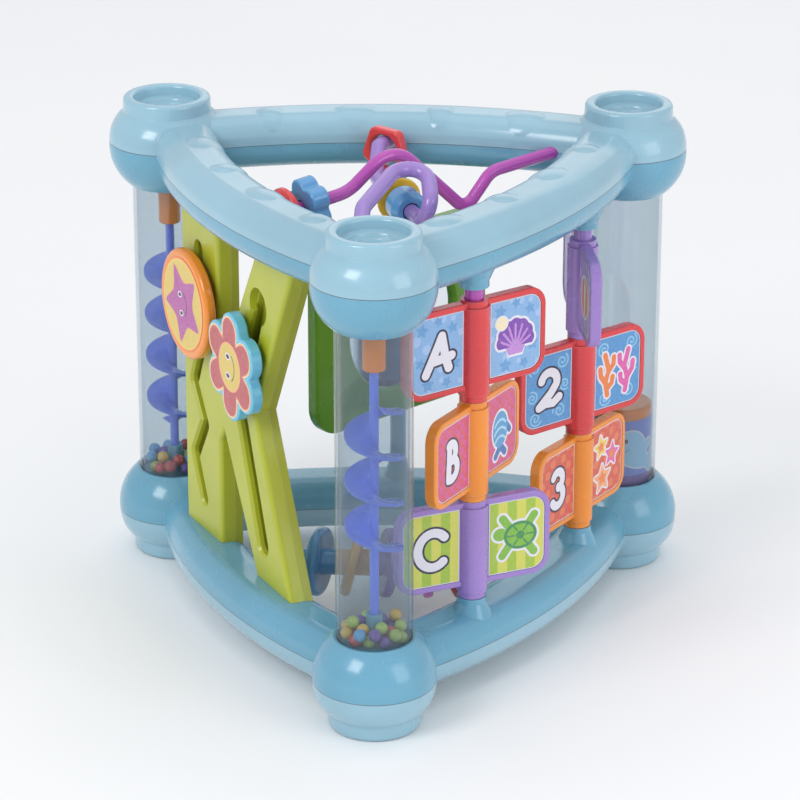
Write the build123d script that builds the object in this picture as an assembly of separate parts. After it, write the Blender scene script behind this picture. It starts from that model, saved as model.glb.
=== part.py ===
from build123d import *
import math
import os
import random

# Triangular activity tower, millimetres, +Z up.  Three tubes at the corners join a bottom ring
# and a top ring.  Each of the three faces between the tubes carries its own play feature.
# Every function builds its piece round the tower's own axis; the export at the end moves the
# whole tower so that the origin is the middle of its footprint, on the floor.

# ---- tower ----
HEIGHT = 260.0            # floor to the top rims
MID_Z = HEIGHT / 2
CORNER_R = 141.1          # tower axis to a tube axis
INRADIUS = CORNER_R / 2   # tower axis to the plane through two tube axes
HALF_CHORD = CORNER_R * math.cos(math.radians(30))   # middle of a face to a tube axis
CORNERS = {"front": -90, "right": 30, "left": 150}
RIGHT_FACE = -30
BACK_FACE = 90
LEFT_FACE = 210
FACES = (RIGHT_FACE, BACK_FACE, LEFT_FACE)
TOWER_SHIFT_Y = 20.7       # puts the middle of the footprint at the origin
FIT = 0.1                 # radial running clearance

# ---- rings ----
WALL = 2.5
SEAM_Z = 235.7            # joint between the two shells of the top ring
HUB_R = 31.0              # widest radius of a corner hub
HUB_BOTTOM_Z = 212.0
HUB_BOTTOM_R = 20.7
NECK_R = 23.2             # upright rim on a hub
CUP_R = 17.4
CUP_FLOOR_Z = 252.2
BAR_W = 34.0
BAR_H = 29.0
BAR_CORNER_R = 12.0
BAR_Z = 235.5             # height of a bar's centre line
BAR_BOW = 15.5            # centre line outside the face plane at the middle of a bar
BAR_END = 9.0             # centre line inside the face plane at a tube axis
BUMP_PROUD = 1.6
BUMP_BODY = (13.5, 10.0)     # half width and half height of the ellipsoid whose top makes a bump
BUMP_INWARD = 2.5
BUMPS = ((-68, 21), (-22.7, 14), (22.7, 21), (68, 14))   # place along a bar, length

# ---- tubes and what turns in them ----
TUBE_R = 19.3
TUBE_WALL = 1.8
TUBE_STOP_Z = 231.5       # where a tube meets its socket's floor
COLLAR_R = 21.9
AUGER_R = 14.7
AUGER_SHAFT_R = 2.3
AUGER_PITCH = 24.0
AUGER_TOP_Z = 171.0
AUGER_BOTTOM_Z = {"front": 92.0, "left": 70.0}   # where the blade of each auger ends
AUGER_BLADE_T = 1.6
BUSH_R = 5.8
BUSH_BOTTOM_Z = 189.0
BUSH_TENON_R = 3.2        # stub that seats a bush in its tube socket
BUSH_TENON_H = 4.0
PLUG_TOP_Z = 45.5
BOSS_TOP_Z = 60.0
BEAD_R = 3.2
BEAD_COUNT = 24
BEAD_GAP = 0.05

# ---- rattle drum in the right tube ----
DRUM_R = 16.6
DRUM_Z = (46.0, 91.0)

# ---- spindles and flip tiles on the right face ----
SPINDLE_X = 53.0
SPINDLE_OUT = 13.5
SPINDLE_R = 4.8
SPINDLE_BOSS_R = 7.5
SPINDLE_BOSS_TIP_Z = 213.5
SOCKET_DEPTH = 15.0
TILE_PITCH = 53.5
HUB_GAP = 0.2
TILE_HUB_R = 8.0
TILE_COLLAR_R = 7.0
TILE_COLLAR_H = 3.5
WING_REACH = 42.5
WING_H = 46.0
WING_T = 6.0
WING_LIFT = 2.8           # wing centre above hub centre
WING_CORNER_R = 10.0
STICKER_INSET = 3.0
STICKER_DEPTH = 0.6
TILE_TURN = {"tile_a": 22, "tile_b": -2, "tile_c": 33, "tile_1": -40, "tile_2": 19, "tile_3": 2}

# ---- K panel on the left face: x to the right seen from outside, then height ----
K_BACK = 1.0
K_SPLIT = 5.5
K_FRONT = 13.5
K_LIP = 4.0               # front lip over a track's wider channel
LIP_BEVEL = 1.6           # depth of the bevel along a track's front edge
LIP_BEVEL_ANGLE = 38.0
K_EDGE_R = 2.5
K_OUTLINE = ((-76, 25), (-31, 25), (-31, 98), (-26, 105), (17, 30), (57, 30), (54.5, 38), (12.5, 129),
             (62, 226), (21, 226), (-31, 137), (-31, 230), (-76, 230))
ZIGZAG = ((-54, 197), (-54, 140), (-63, 121), (-50, 101), (-63.5, 79), (-53, 57))
ZIGZAG_W = 8.0
CHEVRON = ((19, 189), (-6, 129), (20.5, 59))
CHEVRON_W = 12.0
CHANNEL_EXTRA = 5.0       # how much wider a track is behind its lip
KEYHOLE_R = 10.0
KEYHOLE_BUMP = (3.4, 2.6, 1.4)   # half sizes of the two click bumps in the keyhole
RIB_R = 1.4
TENONS_TOP = ((-54, 3.5), (42, 3.5))
TENONS_BOTTOM = ((-54, 3.5), (35, 3.5))
TENON = (14.0, 4.0)
SHOE_GAP = 0.3
TRACK_GAP = 0.25
STAR_AT = (-54, 168)
STAR_R = 29.5
FLOWER_AT = (4, 153)
FLOWER_PETAL_R = 10.6
FLOWER_PETAL_ORBIT = 18.6
FLOWER_TURN = 90
DISC_OUT = (16.4, 22.8)
PIN_R = 3.0

# ---- swivel mirror on the back face ----
MIRROR_OUT = 14.0
MIRROR_W = 124.0
MIRROR_H = 106.0
MIRROR_T = 9.0
MIRROR_CORNER_R = 16.0
MIRROR_WINDOW_R = 38.0
MIRROR_GLASS_R = 41.0
MIRROR_GLASS_T = 2.0
MIRROR_TURN = 45
MIRROR_PIN_R = 2.2
MIRROR_PIN_L = 26.0
MIRROR_POST_R = 4.4

# ---- roller with five leaning discs, low between the left and right faces ----
ROLLER_Y = -22.0
ROLLER_Z = 33.0
ROLLER_DISC_R = 18.5
ROLLER_DISC_T = 5.5
ROLLER_HUB_R = 7.0
ROLLER_PITCH = 18.0
ROLLER_LEAN = 15.0
ROLLER_AXLE_R = 3.0
ROLLER_COLOURS = ("blue", "orange", "purple", "magenta", "red")

# ---- bead maze in the top opening ----
MAGENTA_R = 3.3
MAGENTA_START = (-62.0, -47.5)
MAGENTA_END = (94.0, 67.0)
MAGENTA_RISE = ((0, 231), (52, 237), (79, 257), (124, 214), (140, 232), (193, 236.5))
MAGENTA_BENDS = (22, 17, 7, 12)
LAVENDER_R = 4.0
LAVENDER_PATH = ((-11, -119, 222), (-10, -62, 244), (4, -18, 250), (20, -15, 249), (23, -39, 238),
                 (18, -33, 227), (-9.5, 36, 228), (-8.5, 51, 240), (-1.5, 62, 240), (4, 80, 231))
LAVENDER_BENDS = (14, 12, 9, 6.5, 6.5, 12, 4.5, 4.5)
MAZE_CLEAR = 0.5          # radial clearance of a bead on its rod
RING_BORE = 8.8
RING_CORNER = 4.0
RING_EDGE = 1.4
RING_TURN = 20

# ---- screws ----
SCREW_R = 1.5
SCREW_HEAD_R = 2.9
SCREW_HEAD_H = 2.0
SCREW_X = 84.0
POST_R = 4.2
SCREW_TIP = 8.0           # thread length above the shells' joint


def polar(radius, degrees, z=0.0):
    """Point at a radius and bearing from the tower axis."""
    a = math.radians(degrees)
    return Vector(radius * math.cos(a), radius * math.sin(a), z)


def face_point(face, x, out, z=0.0):
    """Point on a face: x to the right seen from outside, out from the tube plane, height z."""
    a = math.radians(face)
    r = INRADIUS + out
    return Vector(r * math.cos(a) - x * math.sin(a), r * math.sin(a) + x * math.cos(a), z)


def face_plane(face):
    """Plane of a face, with local x to the right seen from outside, y up and z outward."""
    a = math.radians(face)
    return Plane(origin=face_point(face, 0, 0), x_dir=(-math.sin(a), math.cos(a), 0),
                 z_dir=(math.cos(a), math.sin(a), 0))


def rod(radius, z0, z1):
    """Upright cylinder on the Z axis between two heights."""
    return Pos(0, 0, z0) * Cylinder(radius, z1 - z0, align=(Align.CENTER, Align.CENTER, Align.MIN))


def ring_solid(r_in, r_out, z0, z1):
    return rod(r_out, z0, z1) - rod(r_in, z0 - 1, z1 + 1)


def at(place, shape):
    """Move an upright shape so that its own axis stands at a place on the floor plan."""
    return Pos(place.X, place.Y, 0) * shape


def flip(shape):
    """Mirror image of a top-ring shape in the tower's mid height."""
    return mirror(shape, about=Plane.XY.offset(MID_Z))


def fuse(shapes):
    total = shapes[0]
    for shape in shapes[1:]:
        total = total + shape
    return total


# ---------------------------------------------------------------- rings
def hub_outside():
    """Bulb with an upright rim and a stepped cup, as a solid of revolution."""
    profile = [
        Line((0, HUB_BOTTOM_Z), (HUB_BOTTOM_R, HUB_BOTTOM_Z)),
        ThreePointArc((HUB_BOTTOM_R, HUB_BOTTOM_Z), (28.4, 221.5), (HUB_R, SEAM_Z)),
        ThreePointArc((HUB_R, SEAM_Z), (29.3, 244.6), (24.4, 251.3)),
        Line((24.4, 251.3), (NECK_R + 0.3, 252.4)),
        Line((NECK_R + 0.3, 252.4), (NECK_R, HEIGHT - 2)),
        ThreePointArc((NECK_R, HEIGHT - 2), (NECK_R - 0.6, HEIGHT - 0.6), (NECK_R - 2, HEIGHT)),
        Line((NECK_R - 2, HEIGHT), (CUP_R + 2, HEIGHT)),
        ThreePointArc((CUP_R + 2, HEIGHT), (CUP_R + 0.6, HEIGHT - 0.5), (CUP_R, HEIGHT - 2)),
        Line((CUP_R, HEIGHT - 2), (CUP_R - 0.6, CUP_FLOOR_Z + 2.4)),
        Line((CUP_R - 0.6, CUP_FLOOR_Z + 2.4), (CUP_R - 4, CUP_FLOOR_Z + 1.6)),
        Line((CUP_R - 4, CUP_FLOOR_Z + 1.6), (CUP_R - 4.4, CUP_FLOOR_Z + 0.8)),
        Line((CUP_R - 4.4, CUP_FLOOR_Z + 0.8), (CUP_R - 8.6, CUP_FLOOR_Z + 0.6)),
        Line((CUP_R - 8.6, CUP_FLOOR_Z + 0.6), (CUP_R - 9, CUP_FLOOR_Z)),
        Line((CUP_R - 9, CUP_FLOOR_Z), (0, CUP_FLOOR_Z)),
        Line((0, CUP_FLOOR_Z), (0, HUB_BOTTOM_Z)),
    ]
    return revolve(Plane.XZ * make_face(profile), Axis.Z)


def hub_inside():
    profile = [
        Line((0, HUB_BOTTOM_Z + 2), (HUB_BOTTOM_R - 2, HUB_BOTTOM_Z + 2)),
        ThreePointArc((HUB_BOTTOM_R - 2, HUB_BOTTOM_Z + 2), (26.0, 222.5), (HUB_R - WALL, SEAM_Z)),
        ThreePointArc((HUB_R - WALL, SEAM_Z), (27.0, 243.2), (22.2, 249.2)),
        Line((22.2, 249.2), (0, 249.2)),
        Line((0, 249.2), (0, HUB_BOTTOM_Z + 2)),
    ]
    return revolve(Plane.XZ * make_face(profile), Axis.Z)


def bar(face, inset):
    """Bowed bar of a ring, from one tube axis to the next, with its skin inset by a distance."""
    sagitta = BAR_BOW + BAR_END
    arc_r = (HALF_CHORD ** 2 + sagitta ** 2) / (2 * sagitta)
    half_angle = math.degrees(math.asin(HALF_CHORD / arc_r))
    centre = face_point(face, 0, BAR_BOW - arc_r, BAR_Z)
    a = math.radians(face)
    section_plane = Plane(origin=face_point(face, 0, BAR_BOW, BAR_Z),
                          x_dir=(math.cos(a), math.sin(a), 0), z_dir=(math.sin(a), -math.cos(a), 0))
    section = section_plane * RectangleRounded(BAR_W - 2 * inset, BAR_H - 2 * inset, BAR_CORNER_R - inset)
    axis = Axis(centre, (0, 0, 1))
    return revolve(section, axis, revolution_arc=2 * half_angle).rotate(axis, -half_angle)


def bar_offset(x):
    """How far a bar's centre line lies outside the face plane at a distance from its middle."""
    return BAR_BOW - (BAR_BOW + BAR_END) * (x / HALF_CHORD) ** 2


def ring_outside():
    """Whole outside shape of a ring, solid: three hubs and three bars."""
    hubs = [at(polar(CORNER_R, bearing), hub_outside()) for bearing in CORNERS.values()]
    bars = [bar(face, 0) for face in FACES]
    return fuse(hubs + bars)


def ring_shell():
    """Hollow ring with a tube socket in each hub, before it is cut at its seam."""
    shell = ring_outside()
    for face in FACES:
        shell = shell - bar(face, WALL)
    for bearing in CORNERS.values():
        place = polar(CORNER_R, bearing)
        collar = rod(COLLAR_R, HUB_BOTTOM_Z + 1, TUBE_STOP_Z + 2.3)
        bush_hole = rod(BUSH_TENON_R, TUBE_STOP_Z - 1, TUBE_STOP_Z + BUSH_TENON_H)
        socket = rod(TUBE_R, HUB_BOTTOM_Z - 9, TUBE_STOP_Z) + bush_hole
        shell = shell - at(place, hub_inside())
        shell = shell + at(place, collar)
        shell = shell - at(place, socket)
    return shell


def spindle_sockets():
    """Bosses under the right bar that hold the ends of the two spindle rods."""
    solids = []
    bores = []
    for x in (-SPINDLE_X, SPINDLE_X):
        place = face_point(RIGHT_FACE, x, SPINDLE_OUT)
        flare = Pos(0, 0, SPINDLE_BOSS_TIP_Z + 3) * Cone(SPINDLE_BOSS_R, SPINDLE_BOSS_R + 3.5, 8,
                                                      align=(Align.CENTER, Align.CENTER, Align.MIN))
        boss = rod(SPINDLE_BOSS_R, SPINDLE_BOSS_TIP_Z, SPINDLE_BOSS_TIP_Z + 18) + flare
        solids.append(at(place, boss))
        bores.append(at(place, rod(SPINDLE_R, SPINDLE_BOSS_TIP_Z - 1, SPINDLE_BOSS_TIP_Z + SOCKET_DEPTH)))
    return fuse(solids), fuse(bores)


def mirror_post():
    """Post that reaches from the back bar to the end of the mirror frame, with its pin bore."""
    tip = MID_Z + MIRROR_H / 2 + 1.0
    place = face_point(BACK_FACE, 0, MIRROR_OUT)
    post = rod(MIRROR_POST_R, tip, 223) + Pos(0, 0, 211) * Cone(
        MIRROR_POST_R, MIRROR_POST_R + 4, 12, align=(Align.CENTER, Align.CENTER, Align.MIN))
    return at(place, post), at(place, rod(MIRROR_PIN_R + FIT, tip - 1, tip + 18))


def bar_bumps():
    """Low oval bumps along the top of each bar."""
    bumps = []
    for face in FACES:
        for x, length in BUMPS:
            half_width, half_height = BUMP_BODY
            z = BAR_Z + BAR_H / 2 + BUMP_PROUD - half_height
            place = face_point(face, x, bar_offset(x) - BUMP_INWARD, z)
            lens = scale(Sphere(1), by=(half_width, length, half_height))
            slope = 2 * (BAR_BOW + BAR_END) * x / HALF_CHORD ** 2
            bumps.append(Pos(place) * Rot(0, 0, face + math.degrees(math.atan(slope))) * lens)
    return bumps


def screw_places():
    return [face_point(face, x, bar_offset(x)) for face in FACES for x in (-SCREW_X, SCREW_X)]


def screw_post(place, z_low, z_high, bore):
    post = rod(POST_R, z_low, z_high)
    return at(place, post - rod(bore, z_low - 1, z_high + 1))


def screw(z_under):
    """Pan-head screw, head down, standing on the height of the shell it goes in from."""
    head = rod(SCREW_HEAD_R, z_under + 1.2, z_under + 1.2 + SCREW_HEAD_H)
    shank_top = z_under + BAR_H / 2 + SCREW_TIP
    return head + rod(SCREW_R, z_under + 1.2, shank_top)


def screws(z_under):
    return [at(place, screw(z_under)) for place in screw_places()]


def with_screw_posts(lower, upper, z_under, seam, z_top):
    """Add clearance posts to a ring's lower shell and threaded posts to its upper shell."""
    head_seat = z_under + 1.2 + SCREW_HEAD_H
    for place in screw_places():
        lower = lower + at(place, rod(POST_R, z_under + 0.4, seam))
        lower = lower - at(place, rod(SCREW_HEAD_R + 0.2, z_under - 2, head_seat))
        lower = lower - at(place, rod(SCREW_R + 0.2, z_under, seam + 1))
        upper = upper + screw_post(place, seam, z_top - 1.5, SCREW_R)
    return lower, upper


def upper_half(shape, z):
    return shape & Pos(0, 0, z + 200) * Box(600, 600, 400)


def lower_half(shape, z):
    return shape & Pos(0, 0, z - 200) * Box(600, 600, 400)


# ---------------------------------------------------------------- tubes
def tube():
    bottom = HEIGHT - TUBE_STOP_Z
    return ring_solid(TUBE_R - TUBE_WALL, TUBE_R, bottom, TUBE_STOP_Z)


def tube_plug(with_boss):
    """Floor of a tube, with a footstep bearing for the auger where there is one."""
    plug = rod(TUBE_R - TUBE_WALL - 0.05, HEIGHT - TUBE_STOP_Z, PLUG_TOP_Z)
    if with_boss:
        plug = plug + rod(4.2, PLUG_TOP_Z, BOSS_TOP_Z)
        plug = plug - rod(AUGER_SHAFT_R + FIT, BOSS_TOP_Z - 10, BOSS_TOP_Z + 1)
    return plug


def auger(z0):
    """Left-handed screw on a straight shaft, with its blade from a height up to the bush."""
    z1 = AUGER_TOP_Z
    turn = (z1 - z0) / AUGER_PITCH * 360
    width = AUGER_BLADE_T / AUGER_PITCH * 2 * math.pi
    inner = AUGER_SHAFT_R - 0.4
    sector = make_face([
        Line((inner, 0), (AUGER_R, 0)),
        ThreePointArc((AUGER_R, 0), (AUGER_R * math.cos(width / 2), AUGER_R * math.sin(width / 2)),
                      (AUGER_R * math.cos(width), AUGER_R * math.sin(width))),
        Line((AUGER_R * math.cos(width), AUGER_R * math.sin(width)),
             (inner * math.cos(width), inner * math.sin(width))),
        ThreePointArc((inner * math.cos(width), inner * math.sin(width)),
                      (inner * math.cos(width / 2), inner * math.sin(width / 2)), (inner, 0)),
    ])
    blade = Solid.extrude_linear_with_rotation(sector.face(), (0, 0, 0), (0, 0, z1 - z0), -turn)
    shaft = rod(AUGER_SHAFT_R, BOSS_TOP_Z - 9, BUSH_BOTTOM_Z + 16)
    return shaft + Pos(0, 0, z0) * blade


def auger_bush():
    """Bearing that hangs from a tube's top socket and holds the auger's upper end."""
    stub = rod(BUSH_TENON_R, TUBE_STOP_Z, TUBE_STOP_Z + BUSH_TENON_H)
    body = rod(BUSH_R, BUSH_BOTTOM_Z, TUBE_STOP_Z) + stub
    body = fillet(body.edges().filter_by(GeomType.CIRCLE).group_by(Axis.Z)[0], 1.0)
    return body - rod(AUGER_SHAFT_R + FIT, BUSH_BOTTOM_Z - 1, BUSH_BOTTOM_Z + 17)


def bead_heap(seed):
    """Small balls that lie in a heap on the tube's floor, round the auger's boss."""
    rng = random.Random(seed)
    spacing = 2 * BEAD_R + BEAD_GAP
    reach = TUBE_R - TUBE_WALL - BEAD_R - BEAD_GAP
    core = 4.2 + BEAD_R + BEAD_GAP
    placed = []
    for _ in range(BEAD_COUNT):
        best = None
        for _ in range(60):
            bearing = rng.uniform(0, 2 * math.pi)
            radius = rng.uniform(core, reach)
            x = radius * math.cos(bearing)
            y = radius * math.sin(bearing)
            z = PLUG_TOP_Z + BEAD_R + BEAD_GAP
            for px, py, pz in placed:
                flat = (px - x) ** 2 + (py - y) ** 2
                if flat < spacing ** 2:
                    z = max(z, pz + math.sqrt(spacing ** 2 - flat))
            if best is None or z < best[2]:
                best = (x, y, z)
        placed.append(best)
    return [Pos(*p) * Sphere(BEAD_R) for p in placed]


def drum_pieces():
    """Rattle drum: body, lower rim and top cap."""
    z0, z1 = DRUM_Z
    body = rod(DRUM_R, z0 + 7, z1 - 6) + rod(DRUM_R - 2, z0 + 3, z1 - 3)
    body = body - rod(DRUM_R - 4, z0 + 5, z1 - 5)
    rim = rod(DRUM_R, z0, z0 + 7) - rod(DRUM_R - 2, z0 + 3, z0 + 8)
    rim = fillet(rim.edges().group_by(Axis.Z)[0], 1.5)
    cap = rod(DRUM_R, z1 - 6, z1) - rod(DRUM_R - 2, z1 - 7, z1 - 3)
    cap = fillet(cap.edges().group_by(Axis.Z)[-1], 2.0)
    return body, rim, cap


# ---------------------------------------------------------------- right face
def spindle():
    inset = HEIGHT - SPINDLE_BOSS_TIP_Z
    return rod(SPINDLE_R, inset - SOCKET_DEPTH, SPINDLE_BOSS_TIP_Z + SOCKET_DEPTH)


def tile(turn, row):
    """Flip tile: a hub with two wings and a shallow pocket on both sides for its pictures."""
    base = HEIGHT - SPINDLE_BOSS_TIP_Z + HUB_GAP + row * TILE_PITCH
    height = TILE_PITCH - HUB_GAP
    hub = rod(TILE_HUB_R, base + TILE_COLLAR_H, base + height - TILE_COLLAR_H)
    hub = hub + rod(TILE_COLLAR_R, base, base + height)
    z_mid = base + height / 2 + WING_LIFT
    wing_face = RectangleRounded(2 * WING_REACH, WING_H, WING_CORNER_R)
    wings = Pos(0, WING_T / 2, z_mid) * Rot(90, 0, 0) * extrude(wing_face, WING_T)
    wings = fillet(wings.faces().filter_by(Axis.Y).edges(), 0.8)
    pocket = RectangleRounded(2 * (WING_REACH - STICKER_INSET), WING_H - 2 * STICKER_INSET,
                              WING_CORNER_R - STICKER_INSET)
    for side in (-1, 1):
        place = Pos(0, side * WING_T / 2 + STICKER_DEPTH, z_mid) * Rot(90, 0, 0)
        wings = wings - place * extrude(pocket, 2 * STICKER_DEPTH)
    solid = hub + wings - rod(SPINDLE_R + FIT, base - 1, base + height + 1)
    return Rot(0, 0, turn) * solid


# ---------------------------------------------------------------- left face
def track(points, width, depth, out, flare=0.0):
    """Rounded channel along a chain of points, cut outward from a distance in front of the face."""
    pieces = []
    for (x0, y0), (x1, y1) in zip(points, points[1:]):
        length = math.hypot(x1 - x0, y1 - y0)
        angle = math.degrees(math.atan2(y1 - y0, x1 - x0))
        slot = Pos((x0 + x1) / 2, (y0 + y1) / 2, out) * Rot(0, 0, angle) * SlotCenterToCenter(length, width)
        pieces.append(extrude(slot, depth, taper=-flare))
    return fuse(pieces)


def k_body(out_low, out_high, edge_r):
    """K-shaped plate between two distances in front of the face, in the face's own coordinates."""
    outline = Polyline(*K_OUTLINE, close=True)
    plate_face = make_face(outline)
    plate = Pos(0, 0, out_low) * extrude(plate_face, out_high - out_low)
    if edge_r:
        plate = fillet(plate.faces().sort_by(Axis.Z)[-1].edges(), edge_r)
    return plate


def tenons(places, z0, z1):
    blocks = []
    for x, out in places:
        block = Pos(x, (z0 + z1) / 2, out) * Box(TENON[0], z1 - z0, TENON[1])
        blocks.append(block)
    return fuse(blocks)


def k_tenons():
    top = tenons(TENONS_TOP, 216, 229)
    bottom = tenons(TENONS_BOTTOM, HEIGHT - 229, HEIGHT - 216)
    return top + bottom


def k_front_plate(ring_top, ring_bottom):
    plate = k_body(K_SPLIT, K_FRONT, K_EDGE_R)
    lip_out = K_FRONT - K_LIP
    for points, width in ((ZIGZAG, ZIGZAG_W), (CHEVRON, CHEVRON_W)):
        plate = plate - track(points, width, K_LIP + 1, lip_out - 0.5)
        plate = plate - track(points, width, 2 * LIP_BEVEL, K_FRONT - LIP_BEVEL, LIP_BEVEL_ANGLE)
        plate = plate - track(points, width + CHANNEL_EXTRA, lip_out - K_SPLIT + 1, K_SPLIT - 1)
    keyhole = Pos(*CHEVRON[0], lip_out - 0.5) * extrude(Circle(KEYHOLE_R), K_LIP + 1)
    plate = plate - keyhole
    return face_plane(LEFT_FACE) * plate - ring_top - ring_bottom


def k_back_plate(ring_top, ring_bottom):
    """Rear half of the K: the tracks' floor, with click ribs along the lower chevron leg."""
    plate = k_body(K_BACK, K_SPLIT, 0)
    (x0, y0), (x1, y1) = CHEVRON[1], CHEVRON[2]
    angle = math.degrees(math.atan2(y1 - y0, x1 - x0))
    for i in range(1, 7):
        t = i / 7.5
        rib = Cylinder(RIB_R, CHEVRON_W, rotation=(90, 0, 0))
        plate = plate + Pos(x0 + t * (x1 - x0), y0 + t * (y1 - y0), K_SPLIT - 0.3) * Rot(0, 0, angle) * rib
    for sign in (1, -1):
        bump_place = Pos(CHEVRON[0][0] - 1.5, CHEVRON[0][1] + sign * 5, K_SPLIT)
        plate = plate + bump_place * scale(Sphere(1), by=KEYHOLE_BUMP)
    placed = face_plane(LEFT_FACE) * plate - ring_top - ring_bottom
    return placed + face_plane(LEFT_FACE) * k_tenons()


def shoe(centre, track_w):
    """Slider shoe: flange behind the lip, neck through the track, collar and pin for its disc."""
    lip_out = K_FRONT - K_LIP
    neck_r = track_w / 2 - TRACK_GAP
    flange_r = (track_w + CHANNEL_EXTRA) / 2 - 2 * TRACK_GAP
    x, y = centre
    flange = Pos(x, y, 0) * rod(flange_r, lip_out - SHOE_GAP - 1.8, lip_out - SHOE_GAP)
    neck = Pos(x, y, 0) * rod(neck_r, lip_out - SHOE_GAP - 1.8, K_FRONT + 0.8)
    collar = Pos(x, y, 0) * rod(neck_r + 2, K_FRONT + SHOE_GAP, DISC_OUT[0] - 0.2)
    pin = Pos(x, y, 0) * rod(PIN_R, K_FRONT, DISC_OUT[1] - 1.6)
    return face_plane(LEFT_FACE) * (flange + neck + collar + pin)


def bored_disc(blank):
    """Give a slider's disc its blind pin bore and put it on the left face."""
    bore = rod(PIN_R + FIT, -1, DISC_OUT[1] - DISC_OUT[0] - 1.4)
    return blank - bore


def star_disc():
    blank = rod(STAR_R, 0, DISC_OUT[1] - DISC_OUT[0])
    blank = fillet(blank.edges().filter_by(GeomType.CIRCLE), 2.4)
    return face_plane(LEFT_FACE) * Pos(*STAR_AT, DISC_OUT[0]) * bored_disc(blank)


def flower_disc():
    outline = Circle(FLOWER_PETAL_ORBIT)
    for petal in range(6):
        a = math.radians(FLOWER_TURN + 60 * petal)
        petal_at = Pos(FLOWER_PETAL_ORBIT * math.cos(a), FLOWER_PETAL_ORBIT * math.sin(a))
        outline = outline + petal_at * Circle(FLOWER_PETAL_R)
    blank = extrude(outline, DISC_OUT[1] - DISC_OUT[0])
    upright = blank.edges().filter_by(Axis.Z)
    blank = fillet(upright, 2.0)
    blank = fillet(blank.faces().filter_by(Axis.Z).edges(), 1.2)
    return face_plane(LEFT_FACE) * Pos(*FLOWER_AT, DISC_OUT[0]) * bored_disc(blank)


# ---------------------------------------------------------------- back face
def mirror_place():
    centre = face_point(BACK_FACE, 0, MIRROR_OUT, MID_Z)
    return Pos(centre) * Rot(0, 0, MIRROR_TURN) * Rot(90, 0, 0)


def mirror_half(side):
    """One of the two frame halves; side +1 or -1 picks the half in front of or behind the glass."""
    outline = RectangleRounded(MIRROR_W, MIRROR_H, MIRROR_CORNER_R) - Circle(MIRROR_WINDOW_R)
    half = extrude(outline, side * MIRROR_T / 2)
    outer = half.faces().sort_by(Axis.Z)[-1 if side > 0 else 0]
    half = fillet(outer.edges(), 2.0)
    half = half - Cylinder(MIRROR_GLASS_R + 0.1, MIRROR_GLASS_T)
    for sign in (-1, 1):
        half = half - Pos(0, sign * MIRROR_H / 2, 0) * Cylinder(MIRROR_PIN_R, 20, rotation=(90, 0, 0))
    return mirror_place() * half


def mirror_glass():
    return mirror_place() * Cylinder(MIRROR_GLASS_R, MIRROR_GLASS_T)


def mirror_pins():
    pins = []
    for sign in (-1, 1):
        pin = Cylinder(MIRROR_PIN_R, MIRROR_PIN_L, rotation=(90, 0, 0))
        pins.append(mirror_place() * Pos(0, sign * (MIRROR_H / 2 + 3), 0) * pin)
    return pins


# ---------------------------------------------------------------- roller
def roller_axle():
    reach = 2 * (INRADIUS + 4 + ROLLER_Y / 2) / math.cos(math.radians(30))
    return Pos(0, ROLLER_Y, ROLLER_Z) * Cylinder(ROLLER_AXLE_R, reach, rotation=(0, 90, 0))


def roller_disc(index):
    """Hub with a disc that leans, each one the other way from its neighbour."""
    x = (index - 2) * ROLLER_PITCH
    hub = Cylinder(ROLLER_HUB_R, ROLLER_PITCH - 0.1)
    blade = Cylinder(ROLLER_DISC_R, ROLLER_DISC_T)
    blade = fillet(blade.edges().filter_by(GeomType.CIRCLE), 2.2)
    solid = hub + Rot(ROLLER_LEAN, 0, 0) * blade
    solid = solid & Cylinder(2 * ROLLER_DISC_R, ROLLER_PITCH - 0.1)
    solid = solid - Cylinder(ROLLER_AXLE_R + FIT, 2 * ROLLER_PITCH)
    return Pos(x, ROLLER_Y, ROLLER_Z) * Rot(72 * index, 0, 0) * Rot(0, 90, 0) * solid


# ---------------------------------------------------------------- bead maze
def wire(points, bends, radius):
    """Round rod bent along straight stretches with round corners."""
    path = FilletPolyline(*points, radius=bends)
    start = Plane(origin=path @ 0, z_dir=path % 0)
    return sweep(start * Circle(radius), path=path)


def magenta_point(s, z):
    (x0, y0), (x1, y1) = MAGENTA_START, MAGENTA_END
    length = math.hypot(x1 - x0, y1 - y0)
    return (x0 + (x1 - x0) * s / length, y0 + (y1 - y0) * s / length, z)


def magenta_rod():
    return wire([magenta_point(s, z) for s, z in MAGENTA_RISE], MAGENTA_BENDS, MAGENTA_R)


def lavender_rod():
    return wire(LAVENDER_PATH, LAVENDER_BENDS, LAVENDER_R)


def on_line(start, end, distance, shape):
    """Thread a shape, whose own axis is Z, on the straight line between two points."""
    direction = (Vector(*end) - Vector(*start)).normalized()
    return Plane(origin=Vector(*start) + direction * distance, z_dir=direction) * shape


def petal_bead(orbit, petal_r, count, thick, bore):
    outline = Circle(orbit)
    for i in range(count):
        a = 2 * math.pi * i / count
        outline = outline + Pos(orbit * math.cos(a), orbit * math.sin(a)) * Circle(petal_r)
    bead = Pos(0, 0, -thick / 2) * extrude(outline, thick)
    bead = fillet(bead.edges().filter_by(Axis.Z), 1.5)
    bead = fillet(bead.faces().filter_by(Axis.Z).edges(), 1.3)
    return bead - Cylinder(bore, 2 * thick)


def ring_bead(corner_r, sides, thick, bore):
    """Large ring with a rounded many-sided rim, loose on its rod."""
    outline = fillet(RegularPolygon(corner_r, sides).vertices(), RING_CORNER)
    bead = Pos(0, 0, -thick / 2) * extrude(outline, thick)
    bead = bead - Cylinder(bore, 2 * thick)
    return fillet(bead.faces().filter_by(Axis.Z).edges(), RING_EDGE)


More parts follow.
